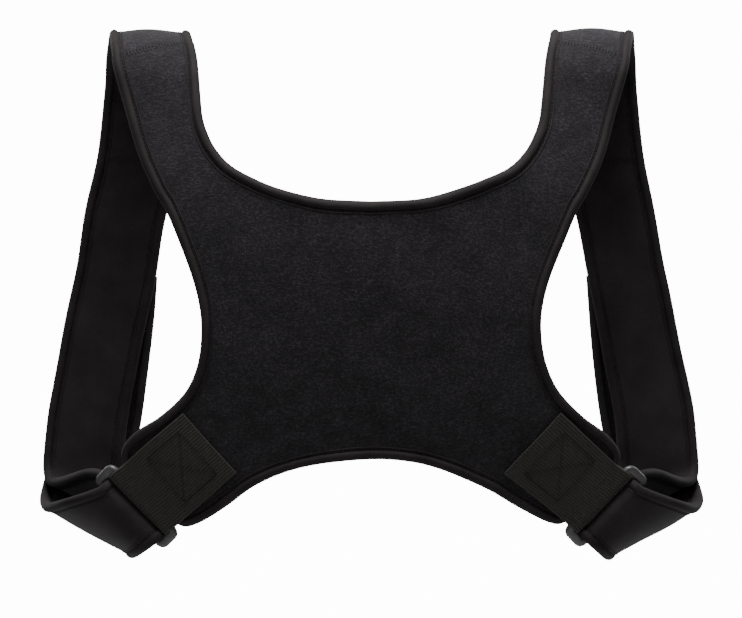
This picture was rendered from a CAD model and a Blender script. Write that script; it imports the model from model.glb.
import math

import bpy
import numpy as np
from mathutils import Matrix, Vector


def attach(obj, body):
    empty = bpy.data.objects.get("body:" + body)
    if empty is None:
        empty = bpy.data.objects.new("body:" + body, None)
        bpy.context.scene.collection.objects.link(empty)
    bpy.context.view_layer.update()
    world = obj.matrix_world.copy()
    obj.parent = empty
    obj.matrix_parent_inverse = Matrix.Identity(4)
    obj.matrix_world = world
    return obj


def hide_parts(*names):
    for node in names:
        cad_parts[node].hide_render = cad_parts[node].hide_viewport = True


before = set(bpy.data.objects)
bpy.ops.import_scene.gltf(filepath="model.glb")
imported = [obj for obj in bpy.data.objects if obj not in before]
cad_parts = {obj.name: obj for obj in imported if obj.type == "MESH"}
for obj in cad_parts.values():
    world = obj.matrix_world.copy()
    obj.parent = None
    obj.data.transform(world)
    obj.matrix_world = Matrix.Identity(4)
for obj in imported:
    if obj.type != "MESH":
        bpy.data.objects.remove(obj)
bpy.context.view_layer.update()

# Posture corrector of padded neoprene. The flat pattern is laid on the worn form, as in
# part.mjs: across and along the cloth in millimetres, turned into metres when a mesh is made.
MM = 0.001

# Sizes as in part.mjs. Only RING_END differs: the ring's ends are 1.2 mm narrower there.
SHOULDER_SPAN = 306
NECK_DEPTH = 147
ARCH_DEPTH = 319
LOBE_DEPTH = 366
STRAP_DROP = 338
STRAP_WIDTH = 57
TAIL_LENGTH = 145
CREST_RADIUS = 45
CREST_TURN = math.radians(80)
BACK_RADIUS = 640
FRONT_RADIUS = 1400
PANEL_BULGE = 23.4
BULGE_START = 30
BULGE_LENGTH = 110
CREST_CROWN = 3
CROWN_REACH = 110
PAD = 3.6
TAPE = 1.1
TAPE_HALF = 3.7
TAPE_NOSE = 3.2
WEBBING_WIDTH = 55
WEBBING_LENGTH = 70
WEBBING_THICKNESS = 1.6
GAP = 0.3
RING_LENGTH = 68
RING_WIDTH = 20
RING_BAR = 5
RING_END = 7.2
RING_THICKNESS = 4.4
RING_CORNER = 6
SLOT_CORNER = 0.5
RING_BEVEL = 1
LOBE_ANGLE = math.radians(41.3)
RING_ANGLE = math.radians(47)
RING_DISTANCE = 13.3
RING_SHIFT = 0.2
INNER_BEND = {
    "front": (42, 42), "ring": (45, 45), "lean": math.radians(58), "slant": (0.95, 0.95),
    "turn": (0, 0),
}
OUTER_BEND = {
    "front": (37, 48), "ring": (60, 39), "lean": math.radians(-6), "slant": (0.36, 0.11),
    "turn": (0, 0.9),
}
TAIL_RUN = 28
SQUEEZE = 0.8
NARROWING = 0.96
HOOK_WIDTH = 28
HOOK_SHIFT = 4
HOOK_LENGTH = 70
HOOK_START = 43.5

HALF_SPAN = SHOULDER_SPAN / 2
HALF_PAD = PAD / 2
LOBE_AXIS = np.array([math.cos(LOBE_ANGLE), math.sin(LOBE_ANGLE)])
LOBE_SIDE = np.array([-LOBE_AXIS[1], LOBE_AXIS[0]])
RING_AXIS = np.array([math.cos(RING_ANGLE), math.sin(RING_ANGLE)])
RING_ACROSS = np.array([-RING_AXIS[1], RING_AXIS[0]])
CREST_LENGTH = CREST_RADIUS * CREST_TURN
BAR_OFFSET = (RING_WIDTH - RING_BAR) / 2
BAR_REACH = math.hypot(RING_BAR / 2, RING_THICKNESS / 2 - RING_BEVEL)
STRAP_TURN = BAR_REACH + GAP + TAPE_HALF * SQUEEZE
WEBBING_TURN = BAR_REACH + GAP + WEBBING_THICKNESS / 2
LAYER_SPACING = 2 * TAPE_HALF + GAP

# Outlines of half the panel: across is a share of half the span, down one of the depth.
NECK_EDGE = [
    (0.782, 0.205), (0.762, 0.335), (0.745, 0.53), (0.735, 0.615), (0.713, 0.69), (0.676, 0.765),
    (0.608, 0.841), (0.5, 0.9), (0.383, 0.943), (0.2, 0.985), (0, 1),
]
ARMHOLE_EDGE = [
    (1.146, 0.13), (1.128, 0.165), (1.075, 0.239), (1.014, 0.319), (0.941, 0.386),
    (0.885, 0.426), (0.785, 0.528), (0.744, 0.594), (0.74, 0.649), (0.762, 0.701),
    (0.817, 0.749), (0.92, 0.792), (1.02, 0.82), (1.07, 0.838), (1.1, 0.856),
    (1.108, 0.873), (1.096, 0.889),
]
ARCH_EDGE = [
    (0, 0), (0.12, 0.015), (0.24, 0.065), (0.361, 0.19), (0.509, 0.43), (0.622, 0.69),
    (0.71, 0.88), (0.77, 0.985), (0.82, 1.03), (0.86, 0.99),
]
# Middle lines of the strap and its tail: share of the length, across, slope in degrees
STRAP_LINE = [
    (-0.056, 0.984, 11), (0, 1.001, 8), (0.056, 1.018, 7), (0.112, 1.036, 7), (0.186, 1.051, 8),
    (0.335, 1.097, 9), (0.45, 1.155, 10), (0.56, 1.197, 10), (0.655, 1.243, 11),
    (0.76, 1.288, 12), (0.87, 1.335, 15), (0.94, 1.352, 20), (1, 1.364, 27),
]
TAIL_LINE = [
    (0, 1.345, 27), (0.1, 1.317, 20), (0.25, 1.285, 13), (0.6, 1.235, 9), (1, 1.2, 7),
]

# Mesh steps
CURVE_SAMPLES = 1600
PANEL_ROWS = (96, 56, 76)
PANEL_COLUMNS = 44
ARMHOLE_SHARES = (0.45, 0.36)
STRAP_ROWS = 190
BEND_ROWS = 64
TURN_ROWS = 26
TAIL_ROWS = 84
STRAP_COLUMNS = 26
SLOPE_STEP = 0.5
EDGE_STEP = 2
BOX_SAMPLES = 40
WELD_REACH = 0.05
TAPE_STEP = 1.5
RIB_COLUMNS = 5
LEG_ROWS = 44
RING_STEPS = 10
RING_SIDES = 16
ROUNDING = 3.2

# Tape, stitches and seams
STITCH_PITCH = 2.6
STITCH_LENGTH = 1.7
THREAD = 0.36
LINE_LIFT = 0.3
SEAM_LIFT = 0.4
STITCH_ROW = -3.9
STITCH_HEIGHT = 1.9
GROOVE = (-4.75, -3.15)
RIBS = 27
WEBBING_SLACK = 2.2
WEBBING_LIFT = 3.6
RIB_HEIGHT = 0.17
SEAM_DOWN = 113
SEAM_MARGIN = 4.5
SEAM_PITCH = 2.2
SEAM_HALF = 2.7
SEAM_BAND = 3.2
SEAM_RISE = 0.45
SEAM_DIP = 0.3
SEAM_DIP_WIDTH = 1.2
THREAD_RINGS = [(-0.5, 0.0), (-0.36, 0.75), (0, 1), (0.36, 0.75), (0.5, 0.0)]
THREAD_SIDES = 6
# Sewn box on the webbing: half its width, and its near and far side from the ring
BOX_HALF = 19
BOX_NEAR = 30
BOX_FAR = 60
BOX_PITCH = 2.6
BOX_STITCH = 2.1
RIB_POWER = 0.6
# Webbing's outermost rib: the share of its width that thins, and of the thickness left there
SELVEDGE = 0.35
SELVEDGE_LEFT = 0.35
HOOK_ROWS = 30
HOOK_COLUMNS = 16

# Unevenness: size, random seed, number of waves and the range of their lengths
WOBBLE = 0.7
WOBBLE_SEED = 11
WOBBLE_WAVES = 9
WOBBLE_LENGTHS = (45, 130)
PUFF = 0.03
PUFF_WAVES = (17, 7.3)


def smooth(share):
    t = np.clip(share, 0, 1)
    return t * t * (3 - 2 * t)


def unit(vectors):
    return vectors / np.linalg.norm(vectors, axis=-1, keepdims=True)


def side_profile(along):
    """Depth and height at a distance along the cloth from the crest."""
    distance = np.abs(along)
    radius = np.where(along > 0, BACK_RADIUS, FRONT_RADIUS)
    turn = np.minimum(distance, CREST_LENGTH) / CREST_RADIUS
    angle = CREST_TURN + np.maximum(distance - CREST_LENGTH, 0) / radius
    depth = CREST_RADIUS * np.sin(turn) + radius * (np.sin(angle) - math.sin(CREST_TURN))
    drop = CREST_RADIUS * (1 - np.cos(turn)) + radius * (math.cos(CREST_TURN) - np.cos(angle))
    return np.where(along > 0, -depth, depth), HALF_PAD + TAPE - drop


def body_point(flat):
    across, along = flat[..., 0], flat[..., 1]
    depth, height = side_profile(along)
    bulge = PANEL_BULGE / HALF_SPAN ** 2 * (across ** 2 - HALF_SPAN ** 2)
    depth = depth + smooth((along - BULGE_START) / BULGE_LENGTH) * bulge
    from_middle = ((np.abs(across) - HALF_SPAN) / (STRAP_WIDTH / 2)) ** 2
    crown_share = 2 * from_middle / (1 + from_middle)
    crown = CREST_CROWN * smooth(1 - np.abs(along) / CROWN_REACH) * crown_share
    return np.stack([across, depth, height - crown], axis=-1)


def body_slope(flat, direction):
    step = SLOPE_STEP * np.asarray(direction, float)
    return unit(body_point(flat + step) - body_point(flat - step))


def body_vertex(flat, lift=0.0):
    """Points of the worn form and the normals there, which point to the wearer."""
    normal = unit(np.cross(body_slope(flat, (1, 0)), body_slope(flat, (0, 1))))
    return body_point(flat) + normal * lift, normal


def hermite(t, start, end, start_slope, end_slope):
    return ((2 * start - 2 * end + start_slope + end_slope) * t ** 3
            + (3 * end - 3 * start - 2 * start_slope - end_slope) * t ** 2 + start_slope * t + start)


def spline(points):
    """Evenly spaced points of the smooth curve through the given ones."""
    points = np.asarray(points, float)
    last = len(points) - 1
    place = np.linspace(0, last, CURVE_SAMPLES + 1)
    k = np.minimum(place.astype(int), last - 1)
    t = (place - k)[:, None]
    p0, p1 = points[np.maximum(k - 1, 0)], points[k]
    p2, p3 = points[k + 1], points[np.minimum(k + 2, last)]
    return evenly(hermite(t, p1, p2, (p2 - p0) / 2, (p3 - p1) / 2), CURVE_SAMPLES)


def lengths(points):
    steps = np.linalg.norm(np.diff(points, axis=0), axis=-1)
    return np.concatenate([[0], np.cumsum(steps)])


def evenly(points, steps):
    reach = lengths(points)
    wanted = np.linspace(0, reach[-1], steps + 1)
    return np.stack([np.interp(wanted, reach, column) for column in points.T], axis=-1)


def centripetal(points, shares):
    """Points of a centripetal Catmull-Rom curve at shares of its segments."""
    points = np.asarray(points, float)
    padded = np.concatenate([[2 * points[0] - points[1]], points, [2 * points[-1] - points[-2]]])
    last = len(points) - 1
    place = np.asarray(shares) * last
    k = np.minimum(place.astype(int), last - 1)
    t = (place - k)[:, None]
    p0, p1, p2, p3 = padded[k], padded[k + 1], padded[k + 2], padded[k + 3]
    gap = [np.maximum(np.linalg.norm(b - a, axis=-1, keepdims=True), 1e-6) ** 0.5
           for a, b in ((p0, p1), (p1, p2), (p2, p3))]
    t1 = ((p1 - p0) / gap[0] - (p2 - p0) / (gap[0] + gap[1]) + (p2 - p1) / gap[1]) * gap[1]
    t2 = ((p2 - p1) / gap[1] - (p3 - p1) / (gap[1] + gap[2]) + (p3 - p2) / gap[2]) * gap[1]
    return hermite(t, p1, p2, t1, t2)


def inset(curve, side, distance):
    tangent = unit(np.gradient(curve, axis=0))
    return curve + side * distance * np.stack([-tangent[:, 1], tangent[:, 0]], axis=-1)


def at(curve, shares):
    place = np.asarray(shares) * (len(curve) - 1)
    return np.stack([np.interp(place, np.arange(len(curve)), column) for column in curve.T], axis=-1)


neck_curve = spline([(a * HALF_SPAN, d * NECK_DEPTH) for a, d in NECK_EDGE])
armhole_curve = spline([(a * HALF_SPAN, d * LOBE_DEPTH) for a, d in ARMHOLE_EDGE])
arch_curve = spline([
    (a * HALF_SPAN, ARCH_DEPTH + (LOBE_DEPTH - ARCH_DEPTH) * rise) for a, rise in ARCH_EDGE
])
neck_inset = inset(neck_curve, -1, TAPE_NOSE)
armhole_inset = inset(armhole_curve, 1, TAPE_NOSE)
arch_inset = inset(arch_curve, -1, TAPE_NOSE)
neck_inset[-1, 0] = 0
arch_inset[0, 0] = 0

# Meshes


def wobble(points):
    """A slow unevenness of the whole brace, so that nothing on it is perfectly straight."""
    rng = np.random.default_rng(WOBBLE_SEED)
    moved = points.copy()
    for _ in range(WOBBLE_WAVES):
        direction = rng.normal(size=3)
        wave = rng.normal(size=3)
        wave = wave / np.linalg.norm(wave) * 2 * math.pi / rng.uniform(*WOBBLE_LENGTHS)
        phase = rng.uniform(0, 2 * math.pi)
        moved += WOBBLE / 3 * direction * np.sin(points @ wave + phase)[..., None]
    return moved


def add_mesh(name, points, faces, uvs=None, side=1, sharp=40):
    """A smooth-shaded mesh from points in millimetres. Side -1 makes its mirror image."""
    points = np.asarray(points, float).reshape(-1, 3)
    if side < 0:
        points = points * (-1, 1, 1)
        faces = [face[::-1] for face in faces]
    mesh = bpy.data.meshes.new(name)
    mesh.from_pydata((wobble(points) * MM).tolist(), [], faces)
    if uvs is not None:
        layer = mesh.uv_layers.new(name="UVMap")
        flat = np.asarray(uvs, float).reshape(-1, 2) * MM
        corner = np.empty(len(mesh.loops), dtype=np.int32)
        mesh.loops.foreach_get("vertex_index", corner)
        layer.data.foreach_set("uv", flat[corner].ravel())
    mesh.validate()
    mesh.shade_smooth()
    mesh.set_sharp_from_angle(angle=math.radians(sharp))
    piece = bpy.data.objects.new(name, mesh)
    bpy.context.scene.collection.objects.link(piece)
    return piece


def dress(piece, material, nodes=()):
    piece.data.materials.append(material)
    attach(piece, "root")
    if nodes:
        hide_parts(*nodes)
    return piece


def shell_faces(rows, columns):
    """Faces of a closed sheet whose front grid is followed by its back grid."""
    behind = rows * columns
    faces = []
    for i in range(rows - 1):
        for j in range(columns - 1):
            a = i * columns + j
            b, c, d = a + columns, a + columns + 1, a + 1
            faces.append((a, b, c, d))
            faces.append((behind + a, behind + d, behind + c, behind + b))
        a = i * columns
        b = a + columns
        faces.append((behind + a, behind + b, b, a))
        a += columns - 1
        b += columns - 1
        faces.append((a, b, behind + b, behind + a))
    last = (rows - 1) * columns
    for j in range(columns - 1):
        faces.append((j, j + 1, behind + j + 1, behind + j))
        faces.append((last + j + 1, last + j, behind + last + j, behind + last + j + 1))
    return faces


def add_shell(name, middle, normal, half, uv, side=1):
    """A closed sheet. half is how far its two faces lie from the middle one."""
    rows, columns = middle.shape[:2]
    lift = normal * np.broadcast_to(half, (rows, columns))[..., None]
    points = np.concatenate([(middle + lift).reshape(-1, 3), (middle - lift).reshape(-1, 3)])
    uvs = np.concatenate([uv.reshape(-1, 2), uv.reshape(-1, 2)])
    return add_mesh(name, points, shell_faces(rows, columns), uvs, side)


def grid_normals(grid):
    return unit(np.cross(np.gradient(grid, axis=1), np.gradient(grid, axis=0)))


# Panel


def panel_flat():
    """The flat pattern of half the panel, in rows from the shoulder seam to the lobe's end."""
    neck, centre, arch = PANEL_ROWS
    neck_share, arch_share = ARMHOLE_SHARES
    middle = np.linspace(neck_inset[-1], arch_inset[0], centre + 1)
    inner = np.concatenate([
        at(neck_inset, np.linspace(0, 1, neck + 1)), middle[1:-1],
        at(arch_inset, np.linspace(0, 1, arch + 1)),
    ])
    outer = at(armhole_inset, np.concatenate([
        np.linspace(0, neck_share, neck + 1),
        np.linspace(neck_share, 1 - arch_share, centre + 1)[1:-1],
        np.linspace(1 - arch_share, 1, arch + 1),
    ]))
    shares = np.linspace(0, 1, PANEL_COLUMNS + 1)[None, :, None]
    return inner[:, None] * (1 - shares) + outer[:, None] * shares


def panel_piece(material):
    right = panel_flat()
    parts, faces, uvs = [], [], []
    start = 0
    for side in (1, -1):
        flat = right * (side, 1)
        middle, normal = body_vertex(flat)
        rows, columns = middle.shape[:2]
        parts += [middle + normal * HALF_PAD, middle - normal * HALF_PAD]
        uvs += [flat, flat]
        for face in shell_faces(rows, columns):
            corners = [start + corner for corner in face]
            faces.append(corners if side > 0 else corners[::-1])
        start += 2 * rows * columns
    points = np.concatenate([part.reshape(-1, 3) for part in parts])
    uvs = np.concatenate([uv.reshape(-1, 2) for uv in uvs])
    piece = add_mesh("panel_cloth", points, faces, uvs)
    weld = piece.modifiers.new("weld", "WELD")
    weld.merge_threshold = WELD_REACH * MM
    return dress(piece, material, ["back_panel"])


# Straps

lobe_end = (armhole_curve[-1] + arch_curve[-1]) / 2
ring_flat = lobe_end + LOBE_AXIS * RING_DISTANCE + LOBE_SIDE * RING_SHIFT
ring_centre = body_point(ring_flat)
ring_forward = body_slope(ring_flat, RING_AXIS)
ring_normal = unit(np.cross(ring_forward, body_slope(ring_flat, RING_ACROSS)))
ring_side = np.cross(ring_normal, ring_forward)

seam_inner, seam_outer = neck_inset[0], armhole_inset[0]
seam_tilt = math.atan2(*(seam_outer - seam_inner)[::-1])
seam_shift = np.array([0, -GAP / math.cos(seam_tilt)])
seam_middle = (seam_inner + seam_outer) / 2 + seam_shift
strap_line = [(*seam_middle, seam_tilt)] + [
    (a * HALF_SPAN, -down * STRAP_DROP, math.radians(tilt)) for down, a, tilt in STRAP_LINE
]
tail_line = [
    (a * HALF_SPAN, up * TAIL_LENGTH - STRAP_DROP, math.radians(tilt)) for up, a, tilt in TAIL_LINE
]


def strap_rows(line, steps, lift):
    """Rows across the strap, evenly spaced along its middle line."""
    dense = centripetal(line, np.linspace(0, 1, CURVE_SAMPLES + 1))
    rows = evenly(dense, steps)
    travel = np.gradient(rows[:, :2], axis=0)
    skew = rows[:, 2] - np.arctan(-travel[:, 0] / travel[:, 1])
    half = (STRAP_WIDTH / 2 - TAPE_NOSE) / np.cos(skew)
    direction = np.stack([np.cos(rows[:, 2]), np.sin(rows[:, 2])], axis=-1)
    places = np.linspace(1, -1, STRAP_COLUMNS + 1)
    flat = rows[:, None, :2] + direction[:, None] * (half[:, None] * places)[..., None]
    return body_vertex(flat, lift)[0]


def seam_row():
    shares = np.linspace(0, 1, STRAP_COLUMNS + 1)[:, None]
    return body_vertex(seam_outer * (1 - shares) + seam_inner * shares + seam_shift)[0]


def across_strap(pair):
    """Values over the strap's width from those at its outer and inner edge."""
    shares = np.linspace(0, 1, STRAP_COLUMNS + 1)[:, None]
    return pair[0] * (1 - shares) + pair[1] * shares


def ring_arms(bend):
    way = ring_forward * math.cos(bend["lean"]) + ring_normal * math.sin(bend["lean"])
    return unit(way - ring_side * across_strap(bend["slant"])) * across_strap(bend["ring"])


def front_arms(bend, way):
    turned = way - np.array([1, 0, 0]) * across_strap(bend["turn"])
    return unit(turned) * across_strap(bend["front"])


def bend_rows(controls):
    """A bend under the arm, between the first and the last of its rows of controls."""
    t = np.linspace(0, 1, BEND_ROWS + 1)[1:-1, None, None]
    rows = [control[None] for control in controls]
    while len(rows) > 1:
        rows = [before * (1 - t) + after * t for before, after in zip(rows, rows[1:])]
    return rows[0]


def turn_rows():
    angles = np.linspace(INNER_BEND["lean"], math.pi + OUTER_BEND["lean"], TURN_ROWS + 1)[:, None]
    normal = ring_normal * np.cos(angles) - ring_forward * np.sin(angles)
    width = STRAP_WIDTH * NARROWING - 2 * TAPE_NOSE
    places = np.linspace(-0.5, 0.5, STRAP_COLUMNS + 1)[:, None] * width
    bar = ring_centre + ring_forward * BAR_OFFSET + ring_side * places
    return bar[None] + (normal * STRAP_TURN)[:, None]


def strap_grid():
    """The strap's middle face in the order of its length, and its share of full thickness."""
    front = strap_rows(strap_line, STRAP_ROWS, 0)
    front[0] = seam_row()
    tail = strap_rows(tail_line, TAIL_ROWS, -LAYER_SPACING)
    turn = turn_rows()
    middle = STRAP_COLUMNS // 2
    down_way = unit(front[-1, middle] - front[-4, middle])
    tail_way = unit(tail[0, middle] - tail[3, middle])
    inner = bend_rows([
        front[-1], front[-1] + front_arms(INNER_BEND, down_way),
        turn[0] + ring_arms(INNER_BEND), turn[0],
    ])
    outer = bend_rows([
        turn[-1], turn[-1] + ring_arms(OUTER_BEND),
        tail[0] + front_arms(OUTER_BEND, tail_way), tail[0] + tail_way * TAIL_RUN, tail[0],
    ])
    ramp = 1 - (1 - SQUEEZE) * smooth(2 * np.linspace(0, 1, BEND_ROWS + 1)[1:-1] - 1)
    squeeze = np.concatenate([
        np.ones(len(front)), ramp, np.full(len(turn), SQUEEZE), ramp[::-1], np.ones(len(tail)),
    ])
    return np.concatenate([front, inner, turn, outer, tail]), squeeze


# Tape and stitches

# Section of the folded tape: out from the cloth's edge, and up from its middle face.
TAPE_CURVE = [
    (-5.7, 1.2), (-5.7, 1.9), (-5.5, 2.15), (-5.1, 2.2), (-4.8, 2.05), (-4.6, 1.7), (-3.3, 1.7),
    (-3.1, 2.2), (-2.7, 2.85), (-1.9, 3.4), (-0.9, 3.7), (0.3, 3.62), (1.4, 3.2), (2.4, 2.35),
    (3.0, 1.2), (3.2, 0),
]


def tape_section():
    upper = np.asarray(TAPE_CURVE, float)
    return np.concatenate([upper, (upper[:-1] * (1, -1))[::-1]])


def edge_frames(points, normals, inner):
    """Unit tangents and outward directions along an edge whose cloth lies towards inner."""
    tangent = unit(np.gradient(points, axis=0))
    out = unit(np.cross(tangent, normals))
    out *= np.sign(np.sum(out * (points - inner), axis=-1))[:, None]
    return tangent, out


def resampled(arrays, step):
    """Arrays of values along a line, whose points come first, at even steps of its length."""
    reach = lengths(arrays[0])
    count = max(2, round(reach[-1] / step) + 1)
    wanted = np.linspace(0, reach[-1], count)
    result = []
    for values in arrays:
        flat = values.reshape(len(values), -1)
        columns = np.stack([np.interp(wanted, reach, column) for column in flat.T], axis=-1)
        result.append(columns.reshape(count, *values.shape[1:]))
    return result, wanted


def add_tape(name, edge, material, nodes, side=1):
    """Tape along an edge: its points, normals, points further in, and thickness shares."""
    (points, normals, inner, scales), reach = resampled(edge, TAPE_STEP)
    tangent, out = edge_frames(points, normals, inner)
    points[0] -= tangent[0] * GAP
    points[-1] += tangent[-1] * GAP
    section = tape_section()
    puff = 1 + PUFF * np.sin(reach / PUFF_WAVES[0] + 1.3) * np.sin(reach / PUFF_WAVES[1])
    rows = (points[:, None] + out[:, None] * section[None, :, :1]
            + normals[:, None] * (section[None, :, 1] * (scales * puff)[:, None])[..., None])
    count = len(section)
    faces = []
    for i in range(len(rows) - 1):
        for j in range(count):
            a, b = i * count + j, i * count + (j + 1) % count
            faces.append((a, a + count, b + count, b))
    last = (len(rows) - 1) * count
    faces.append(tuple(range(count)))
    faces.append(tuple(last + j for j in reversed(range(count))))
    round_section = lengths(section)
    uvs = np.stack(np.meshgrid(round_section, reach), axis=-1)
    piece = add_mesh(name, rows, faces, uvs, side, sharp=60)
    dress(piece, material, nodes)
    piece.data.materials.append(thread)
    middles = (section + np.roll(section, -1, axis=0))[:, 0] / 2
    in_groove = (middles > GROOVE[0]) & (middles < GROOVE[1])
    dark = np.concatenate([np.tile(in_groove, len(rows) - 1), [False, False]])
    piece.data.polygons.foreach_set("material_index", dark.astype(np.int32))
    return piece


def thread_template():
    """A short stitch along X, fullest in its middle."""
    points, faces = [], []
    for along, width in THREAD_RINGS:
        for k in range(THREAD_SIDES):
            angle = 2 * math.pi * k / THREAD_SIDES
            points.append((along, width * math.cos(angle), width * math.sin(angle)))
    for i in range(len(THREAD_RINGS) - 1):
        for k in range(THREAD_SIDES):
            a, b = i * THREAD_SIDES + k, i * THREAD_SIDES + (k + 1) % THREAD_SIDES
            faces.append((a, b, b + THREAD_SIDES, a + THREAD_SIDES))
    return np.array(points), faces


def add_threads(name, stitches, material, side=1):
    """One mesh of stitches. Each is a middle, a unit direction, a unit up and a length."""
    template, template_faces = thread_template()
    points, faces = [], []
    for middle, along, up, length in stitches:
        across = np.cross(up, along)
        axes = np.stack([along * length, across * THREAD, up * THREAD])
        start = len(points) * len(template)
        points.append(middle + template @ axes)
        faces += [tuple(start + corner for corner in face) for face in template_faces]
    piece = add_mesh(name, np.concatenate(points), faces, side=side, sharp=80)
    return dress(piece, material)


def edge_stitches(edge):
    (points, normals, inner, scales), _ = resampled(edge, STITCH_PITCH)
    tangent, out = edge_frames(points, normals, inner)
    stitches = []
    for face in (1, -1):
        middle = points + out * STITCH_ROW + normals * (face * STITCH_HEIGHT * scales)[:, None]
        for place, way, normal in zip(middle[1:-1], tangent[1:-1], normals[1:-1]):
            stitches.append((place, way, normal * face, STITCH_LENGTH))
    return stitches


def flat_edge(curve, toward):
    """Edge of the panel from its flat line. toward is the side of the line on which cloth lies."""
    further = inset(curve, toward, EDGE_STEP)
    points, normals = body_vertex(curve)
    return points, normals, body_vertex(further)[0], np.ones(len(curve))


def both_halves(edge):
    points, normals, inner, scales = edge
    flip = np.array([-1, 1, 1])
    joined = [
        np.concatenate([(values * flip)[:0:-1], values]) for values in (points, normals, inner)
    ]
    return (*joined, np.concatenate([scales[:0:-1], scales]))


# Webbing and rings


def webbing_grid():
    columns = RIBS * RIB_COLUMNS
    shifts = np.linspace(-0.5, 0.5, columns + 1) * WEBBING_WIDTH

    def leg(face):
        back = np.linspace(RING_DISTANCE, WEBBING_LENGTH, LEG_ROWS + 1)[:, None, None]
        flat = ring_flat - LOBE_AXIS * back + LOBE_SIDE * shifts[None, :, None]
        return body_vertex(flat, face * WEBBING_LIFT)[0]

    angles = np.linspace(0, math.pi, RING_STEPS * 2 + 1)[:, None]
    normal = ring_forward * np.sin(angles) - ring_normal * np.cos(angles)
    bar = ring_centre - ring_forward * BAR_OFFSET + ring_side * shifts[:, None]
    slack = ring_forward * np.sin(angles) * WEBBING_SLACK
    turn = bar[None] + (normal * WEBBING_TURN + slack)[:, None]
    return np.concatenate([leg(-1)[::-1], turn, leg(1)])


def add_webbing(label, side, material):
    grid = webbing_grid()
    normals = grid_normals(grid)
    if np.dot(normals[-1, 0], ring_normal) > 0:
        normals = -normals
    rows, columns = grid.shape[:2]
    place = np.linspace(0, RIBS, columns)
    rib = RIB_HEIGHT * np.abs(np.sin(math.pi * place)) ** RIB_POWER
    edge = smooth(np.minimum(place, RIBS - place) / SELVEDGE)
    half = (WEBBING_THICKNESS / 2 - RIB_HEIGHT) * (SELVEDGE_LEFT + (1 - SELVEDGE_LEFT) * edge) + rib
    middle = columns // 2
    along = lengths(grid[:, middle])
    uv = np.stack(np.meshgrid(np.linspace(0, WEBBING_WIDTH, columns), along), axis=-1)
    piece = add_shell(f"webbing_loop_{label}", grid, normals, half, uv, side)
    dress(piece, material, [f"webbing_{label}"])
    return piece


def rounded_rectangle(length, width, corner):
    x, y = length / 2 - corner, width / 2 - corner
    points = []
    for quarter, (sx, sy) in enumerate([(1, 1), (-1, 1), (-1, -1), (1, -1)]):
        for step in range(RING_STEPS + 1):
            angle = math.pi / 2 * (quarter + step / RING_STEPS)
            points.append((sx * x + corner * math.cos(angle), sy * y + corner * math.sin(angle)))
    return np.array(points)


def add_ring(label, side, material):
    """A flat ring whose section is rounded between its outline and its slot."""
    outline = rounded_rectangle(RING_LENGTH, RING_WIDTH, RING_CORNER)
    slot = rounded_rectangle(RING_LENGTH - 2 * RING_END, RING_WIDTH - 2 * RING_BAR, SLOT_CORNER)
    angles = np.linspace(0, 2 * math.pi, RING_SIDES, endpoint=False)
    c, s = np.cos(angles), np.sin(angles)
    reach = (np.abs(c) ** ROUNDING + np.abs(s) ** ROUNDING) ** (-1 / ROUNDING)
    middle, half = (outline + slot) / 2, (outline - slot) / 2
    plane = middle[:, None] + half[:, None] * (c * reach)[:, None]
    height = np.broadcast_to((s * reach)[:, None] * RING_THICKNESS / 2, (*plane.shape[:2], 1))
    points = (ring_centre + ring_side * plane[..., :1] - ring_forward * plane[..., 1:]
              + ring_normal * height)
    rows = len(outline)
    faces = []
    for i in range(rows):
        for j in range(RING_SIDES):
            a, b = i * RING_SIDES + j, i * RING_SIDES + (j + 1) % RING_SIDES
            shift = ((i + 1) % rows - i) * RING_SIDES
            faces.append((a, b, b + shift, a + shift))
    piece = add_mesh(f"ring_bar_{label}", points, faces, side=side, sharp=70)
    return dress(piece, material, [f"ring_{label}"])


def line_stitches(points, normals, pitch, length):
    """Stitches along a line of surface points, sunk a little into the surface."""
    (points, normals), _ = resampled((points, normals), pitch)
    middles = (points[1:] + points[:-1]) / 2
    return [(place + up * THREAD * LINE_LIFT, way, up, length)
            for place, way, up in zip(middles, unit(np.diff(points, axis=0)), unit(normals[1:]))]


def webbing_stitches(label, side, material):
    """A box with a cross through both legs and the lobe's end between them."""
    corners = {
        "a": (BOX_NEAR, -BOX_HALF), "b": (BOX_NEAR, BOX_HALF),
        "c": (BOX_FAR, BOX_HALF), "d": (BOX_FAR, -BOX_HALF),
    }
    stitches = []
    for face in (1, -1):
        lift = face * (WEBBING_LIFT + WEBBING_THICKNESS / 2)
        for start, end in ("ab", "bc", "cd", "da", "ac", "bd"):
            t = np.linspace(0, 1, BOX_SAMPLES)[:, None]
            local = np.array(corners[start]) * (1 - t) + np.array(corners[end]) * t
            flat = ring_flat - LOBE_AXIS * local[:, :1] + LOBE_SIDE * local[:, 1:]
            points, normals = body_vertex(flat, lift)
            stitches += line_stitches(points, normals * face, BOX_PITCH, BOX_STITCH)
    return add_threads(f"webbing_stitches_{label}", stitches, material, side)


# Materials

# Bands of a wave texture of scale 1 in a metre
WAVE_BANDS = 3.2
WEFT_PITCH = 1.3
WEFT_SHARE = 0.35


def node(tree, kind, inputs=None, **settings):
    added = tree.nodes.new(kind)
    for key, value in settings.items():
        setattr(added, key, value)
    for key, value in (inputs or {}).items():
        if isinstance(value, bpy.types.NodeSocket):
            tree.links.new(value, added.inputs[key])
        else:
            added.inputs[key].default_value = value
    return added


def new_material(name, **values):
    material = bpy.data.materials.new(name)
    material.use_nodes = True
    shader = material.node_tree.nodes["Principled BSDF"]
    for key, value in values.items():
        shader.inputs[key.replace("_", " ")].default_value = value
    return material, material.node_tree, shader


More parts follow.
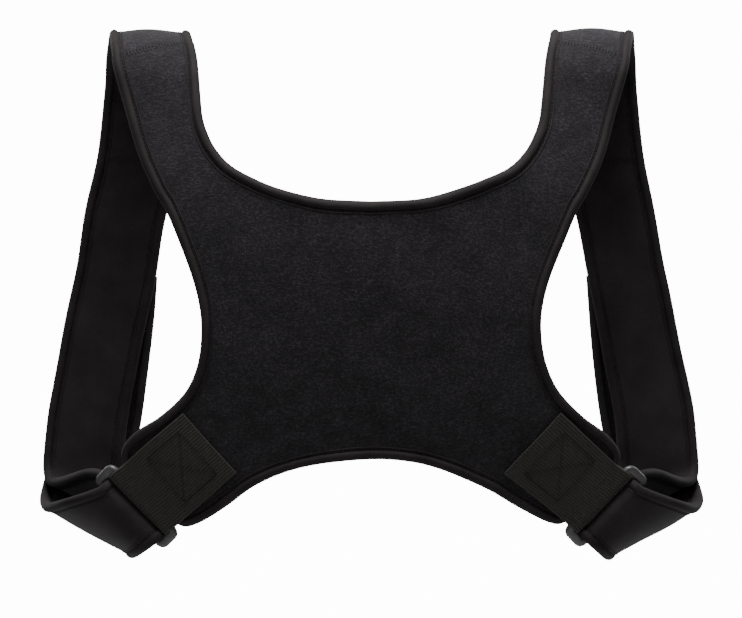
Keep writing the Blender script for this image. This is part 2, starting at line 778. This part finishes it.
def ramp(tree, factor, stops):
    added = node(tree, "ShaderNodeValToRGB", {"Fac": factor})
    elements = added.color_ramp.elements
    while len(elements) < len(stops):
        elements.new(0.5)
    for element, (place, colour) in zip(elements, stops):
        element.position = place
        element.color = (*colour, 1)
    return added.outputs["Color"]


def calculate(tree, operation, *values):
    return node(tree, "ShaderNodeMath", dict(enumerate(values)), operation=operation).outputs[0]


def noise(tree, vector, scale, detail, roughness):
    return node(tree, "ShaderNodeTexNoise", {
        "Vector": vector, "Scale": scale, "Detail": detail, "Roughness": roughness,
    }).outputs["Fac"]


def loop_cloth():
    """Fuzzy loop cloth: heathered, with clumped fibres that catch the light."""
    material, tree, shader = new_material(
        "loop cloth", Roughness=0.95, Sheen_Weight=0.12, Sheen_Roughness=0.5,
        Sheen_Tint=(0.9, 0.88, 0.95, 1), Specular_IOR_Level=0.08)
    place = node(tree, "ShaderNodeTexCoord").outputs["Object"]
    mapping = node(tree, "ShaderNodeMapping", {"Vector": place, "Scale": (0.7, 0.85, 1.15)})
    drawn = mapping.outputs["Vector"]
    clumps = noise(tree, drawn, 620, 4, 0.65)
    fibres = noise(tree, drawn, 1700, 2, 0.5)
    patches = noise(tree, place, 75, 4, 0.6)
    colour = ramp(tree, calculate(tree, "MULTIPLY", clumps, fibres), [
        (0.12, (0.0036, 0.0031, 0.0034)), (0.25, (0.008, 0.0071, 0.0078)),
        (0.4, (0.022, 0.02, 0.0228)),
    ])
    tone = ramp(tree, patches, [(0.32, (0.72, 0.72, 0.72)), (0.68, (1.2, 1.2, 1.22))])
    mixed = node(tree, "ShaderNodeMix", {"Factor": 1.0, 6: colour, 7: tone},
                 data_type="RGBA", blend_type="MULTIPLY")
    tree.links.new(mixed.outputs[2], shader.inputs["Base Color"])
    bump = node(tree, "ShaderNodeBump", {"Strength": 0.85, "Distance": 0.0006, "Height": clumps})
    fine = node(tree, "ShaderNodeBump", {
        "Strength": 0.5, "Distance": 0.0003, "Height": fibres, "Normal": bump.outputs["Normal"],
    })
    tree.links.new(fine.outputs["Normal"], shader.inputs["Normal"])
    return material


def knit(name, dark, light, pitch, strength, **values):
    """Smooth knitted or woven cloth with its threads along and across the piece."""
    material, tree, shader = new_material(name, **values)
    coordinates = node(tree, "ShaderNodeTexCoord")
    place, uv = coordinates.outputs["Object"], coordinates.outputs["UV"]
    waves = []
    for direction in ("X", "Y"):
        wave = node(tree, "ShaderNodeTexWave", {
            "Vector": uv, "Scale": 1 / (pitch * MM) / WAVE_BANDS, "Distortion": 0.6, "Detail": 1.0,
        }, bands_direction=direction)
        waves.append(wave.outputs["Fac"])
    weave = calculate(tree, "MULTIPLY", *waves)
    speckle = noise(tree, place, 1500, 2, 0.6)
    patches = noise(tree, place, 45, 3, 0.5)
    grain = calculate(tree, "MULTIPLY", speckle, patches)
    colour = ramp(tree, grain, [(0.12, dark), (0.42, light)])
    tree.links.new(colour, shader.inputs["Base Color"])
    bump = node(tree, "ShaderNodeBump", {"Strength": strength, "Distance": 0.0003, "Height": weave})
    soft = node(tree, "ShaderNodeBump", {
        "Strength": 0.25, "Distance": 0.0004, "Height": speckle, "Normal": bump.outputs["Normal"],
    })
    tree.links.new(soft.outputs["Normal"], shader.inputs["Normal"])
    return material


def ribbed_webbing():
    """Coarse webbing: ribs along its length, crossed by the weft."""
    material, tree, shader = new_material(
        "webbing", Roughness=0.72, Sheen_Weight=0.05, Specular_IOR_Level=0.15)
    coordinates = node(tree, "ShaderNodeTexCoord")
    parts = node(tree, "ShaderNodeSeparateXYZ", {"Vector": coordinates.outputs["UV"]})

    def ridges(value, pitch):
        turns = calculate(tree, "MULTIPLY", value, math.pi / (pitch * MM))
        return calculate(tree, "ABSOLUTE", calculate(tree, "SINE", turns))

    rib = ridges(parts.outputs["X"], WEBBING_WIDTH / RIBS)
    weft = ridges(parts.outputs["Y"], WEFT_PITCH)
    both = calculate(tree, "MULTIPLY_ADD", weft, WEFT_SHARE, rib)
    speckle = noise(tree, coordinates.outputs["Object"], 1300, 2, 0.6)
    colour = ramp(tree, calculate(tree, "MULTIPLY", both, speckle), [
        (0.1, (0.0078, 0.0069, 0.0058)), (0.4, (0.0124, 0.0112, 0.0095)),
        (0.75, (0.019, 0.0172, 0.015)),
    ])
    tree.links.new(colour, shader.inputs["Base Color"])
    bump = node(tree, "ShaderNodeBump", {"Strength": 0.9, "Distance": 0.0004, "Height": both})
    tree.links.new(bump.outputs["Normal"], shader.inputs["Normal"])
    return material


def moulded_plastic():
    material, tree, shader = new_material("ring plastic", Roughness=0.38, Specular_IOR_Level=0.5)
    place = node(tree, "ShaderNodeTexCoord").outputs["Object"]
    mottle = noise(tree, place, 900, 2, 0.5)
    worn = noise(tree, place, 120, 4, 0.6)
    colour = ramp(tree, worn, [(0.3, (0.02, 0.0195, 0.02)), (0.7, (0.036, 0.035, 0.036))])
    tree.links.new(colour, shader.inputs["Base Color"])
    rough = ramp(tree, mottle, [(0.3, (0.32,) * 3), (0.7, (0.48,) * 3)])
    tree.links.new(rough, shader.inputs["Roughness"])
    bump = node(tree, "ShaderNodeBump", {"Strength": 0.15, "Distance": 0.0002, "Height": mottle})
    tree.links.new(bump.outputs["Normal"], shader.inputs["Normal"])
    return material


loop = loop_cloth()
jersey = knit("jersey", (0.0068, 0.0052, 0.006), (0.0155, 0.012, 0.0138), 0.9, 0.3,
              Roughness=0.8, Sheen_Weight=0.08, Sheen_Roughness=0.4, Specular_IOR_Level=0.12)
tape_cloth = knit("edge tape", (0.0064, 0.0051, 0.0053), (0.016, 0.0131, 0.0136), 0.7, 0.3,
                  Roughness=0.74, Sheen_Weight=0.03, Sheen_Roughness=0.35, Specular_IOR_Level=0.09)
webbing_cloth = ribbed_webbing()
thread = knit("thread", (0.003, 0.0026, 0.0027), (0.0088, 0.0078, 0.0082), 0.5, 0.2,
              Roughness=0.6, Specular_IOR_Level=0.15)
plastic = moulded_plastic()

# Pieces

panel_piece(loop)
neck_edge = flat_edge(neck_inset[::-1], 1)
arch_edge = flat_edge(arch_inset, -1)
armhole_edge = flat_edge(armhole_inset, 1)
add_tape("neck_tape", both_halves(neck_edge), tape_cloth, ["neck_binding"])
add_tape("waist_tape", both_halves(arch_edge), tape_cloth, ["waist_binding"])
panel_stitches = edge_stitches(both_halves(neck_edge)) + edge_stitches(both_halves(arch_edge))
add_threads("panel_stitches", panel_stitches, tape_cloth)
panel_trim = ["neck_tape", "waist_tape", "panel_stitches"]

strap_middle, squeeze = strap_grid()
strap_normal = grid_normals(strap_middle)
if strap_normal[0, 0] @ body_vertex(seam_outer)[1] < 0:
    strap_normal = -strap_normal


def strap_edge(column, inner):
    return strap_middle[:, column], strap_normal[:, column], strap_middle[:, inner], squeeze


def strap_thickness(along, seam_place):
    """Half the strap's thickness in each row, with the ridge and the dip of the crosswise seam."""
    ridge = np.exp(-((along - seam_place) / (SEAM_BAND / 2)) ** 2)
    dip = np.exp(-((along - seam_place - SEAM_BAND) / SEAM_DIP_WIDTH) ** 2)
    return HALF_PAD * squeeze + SEAM_RISE * ridge - SEAM_DIP * dip


def crosswise_stitches(row):
    stitches = []
    for face in (1, -1):
        surface = strap_middle[row] + strap_normal[row] * face * (HALF_PAD + SEAM_RISE)
        normals = strap_normal[row, 2:-2] * face
        stitches += line_stitches(surface[2:-2], normals, STITCH_PITCH, STITCH_LENGTH)
    return stitches


def add_strap(label, side):
    """The strap with jersey on the wearer's side and loop cloth outside, its tapes and stitches."""
    rows, columns = strap_middle.shape[:2]
    along = lengths(strap_middle[:, columns // 2])
    uv = np.stack(np.meshgrid(np.linspace(0, STRAP_WIDTH, columns), along), axis=-1)
    dense = centripetal(strap_line, np.linspace(0, 1, CURVE_SAMPLES + 1))
    seam_place = np.interp(SEAM_DOWN, -dense[:, 1], lengths(dense[:, :2]))
    half = strap_thickness(along, seam_place)[:, None]
    piece = add_shell(f"strap_cloth_{label}", strap_middle, strap_normal, half, uv, side)
    dress(piece, jersey, [f"strap_{label}"])
    piece.data.materials.append(loop)
    loops = np.empty(len(piece.data.loops), dtype=np.int32)
    piece.data.loops.foreach_get("vertex_index", loops)
    starts = np.empty(len(piece.data.polygons), dtype=np.int32)
    piece.data.polygons.foreach_get("loop_start", starts)
    outside = loops[starts] >= rows * columns
    piece.data.polygons.foreach_set("material_index", outside.astype(np.int32))
    seam_stitches = crosswise_stitches(int(np.argmin(np.abs(along - seam_place))))
    add_threads(f"crosswise_stitches_{label}", seam_stitches, thread, side)
    edges = {"outer": strap_edge(0, 2), "inner": strap_edge(columns - 1, columns - 3)}
    stitches = []
    for place, edge in edges.items():
        binding = [f"strap_{place}_binding_{label}"]
        add_tape(f"strap_{place}_tape_{label}", edge, tape_cloth, binding, side)
        stitches += edge_stitches(edge)
    add_threads(f"strap_stitches_{label}", stitches, tape_cloth, side)


def add_hook(label, side):
    places = np.linspace(0, 1, HOOK_ROWS)
    line = centripetal(tail_line, (HOOK_START + places * HOOK_LENGTH) / TAIL_LENGTH)
    across = np.linspace(0.5, -0.5, HOOK_COLUMNS) * HOOK_WIDTH + HOOK_SHIFT
    flat = np.stack([line[:, :1] + across, np.repeat(line[:, 1:2], HOOK_COLUMNS, axis=1)], axis=-1)
    middle, normal = body_vertex(flat, -LAYER_SPACING / 2)
    uv = np.stack(np.meshgrid(across, places * HOOK_LENGTH), axis=-1)
    half = (LAYER_SPACING - PAD - 2 * GAP) / 2
    piece = add_shell(f"hook_tape_{label}", middle, normal, half, uv, side)
    dress(piece, webbing_cloth, [f"hook_patch_{label}"])


def shoulder_seam(label, side):
    """Flatlock stitches over the joint between the panel and the strap, on both faces."""
    width = np.linalg.norm(seam_outer - seam_inner)
    count = int((width - 2 * SEAM_MARGIN) / SEAM_PITCH)
    along = unit(seam_outer - seam_inner)
    across = np.array([-along[1], along[0]])
    stitches = []
    for k in range(count):
        for lean in (1, -1):
            shift = SEAM_MARGIN + (k + 0.5 * (lean > 0)) * SEAM_PITCH
            middle = seam_inner + along * shift + seam_shift / 2
            end = middle + across * SEAM_HALF + along * lean * SEAM_PITCH / 2
            ends = np.array([middle - across * SEAM_HALF, end])
            for face in (1, -1):
                points, normals = body_vertex(ends, face * (HALF_PAD + THREAD * SEAM_LIFT))
                way = points[1] - points[0]
                length = np.linalg.norm(way)
                stitches.append((points.mean(axis=0), way / length, unit(normals[0] * face), length))
    return add_threads(f"seam_stitches_{label}", stitches, thread, side)


for label, side in (("right", 1), ("left", -1)):
    shoulder_seam(label, side)
    panel_trim.append(f"seam_stitches_{label}")
    add_tape(f"armhole_tape_{label}", armhole_edge, tape_cloth, [f"armhole_binding_{label}"], side)
    armhole_stitches = edge_stitches(armhole_edge)
    add_threads(f"armhole_stitches_{label}", armhole_stitches, tape_cloth, side)
    panel_trim += [f"armhole_tape_{label}", f"armhole_stitches_{label}"]
    add_ring(label, side, plastic)
    add_strap(label, side)
    webbing_stitches(label, side, thread)
    add_webbing(label, side, webbing_cloth)
    add_hook(label, side)

# Camera, light and floor

CAMERA_DISTANCE = 1.5
CAMERA_HEIGHT = -0.189
LENS = 105.1
FLOOR = -1.4
FLOOR_REACH = 40
STUDIO_WHITE = 14
AMBIENT = 0.27

camera_data = bpy.data.cameras.new("camera")
camera_data.lens = LENS
camera_data.sensor_width = 36
camera = bpy.data.objects.new("camera", camera_data)
camera.location = (0, -CAMERA_DISTANCE, CAMERA_HEIGHT)
camera.rotation_euler = (math.radians(90), 0, 0)
bpy.context.scene.collection.objects.link(camera)
bpy.context.scene.camera = camera


def add_light(name, place, size, power, target=(0, 0, -0.18)):
    light = bpy.data.lights.new(name, "AREA")
    light.shape = "DISK"
    light.size = size
    light.energy = power
    lamp = bpy.data.objects.new(name, light)
    lamp.location = place
    lamp.rotation_euler = (Vector(target) - Vector(place)).to_track_quat("-Z", "Y").to_euler()
    bpy.context.scene.collection.objects.link(lamp)


def seen_white(tree, others):
    """A strength that is the studio's white to the eye, and the given one as light."""
    path = node(tree, "ShaderNodeLightPath").outputs["Is Camera Ray"]
    return node(tree, "ShaderNodeMapRange", {"Value": path, "To Min": others, "To Max": STUDIO_WHITE})


add_light("overhead", (0, -0.42, 1.35), 1.1, 92)
add_light("fill", (-0.5, -2.3, 0.5), 1.2, 8)
add_light("rim_right", (1.3, 0.9, 0.5), 0.8, 9)
add_light("rim_left", (-1.3, 0.9, 0.5), 0.8, 9)

floor_material, floor_tree, floor_shader = new_material(
    "floor", Base_Color=(0.8, 0.8, 0.8, 1), Roughness=0.9)
floor_shader.inputs["Emission Color"].default_value = (1, 1, 1, 1)
floor_white = seen_white(floor_tree, 0.0)
floor_tree.links.new(floor_white.outputs[0], floor_shader.inputs["Emission Strength"])
floor_mesh = bpy.data.meshes.new("floor")
corners = [(-1, -1), (1, -1), (1, 1), (-1, 1)]
floor_mesh.from_pydata(
    [(x * FLOOR_REACH, y * FLOOR_REACH, FLOOR) for x, y in corners], [], [(0, 1, 2, 3)])
floor_mesh.materials.append(floor_material)
floor = bpy.data.objects.new("floor", floor_mesh)
bpy.context.scene.collection.objects.link(floor)

world = bpy.data.worlds.new("studio")
world.use_nodes = True
background = world.node_tree.nodes["Background"]
background.inputs["Color"].default_value = (1, 1, 1, 1)
world_white = seen_white(world.node_tree, AMBIENT)
world.node_tree.links.new(world_white.outputs[0], background.inputs["Strength"])
bpy.context.scene.world = world
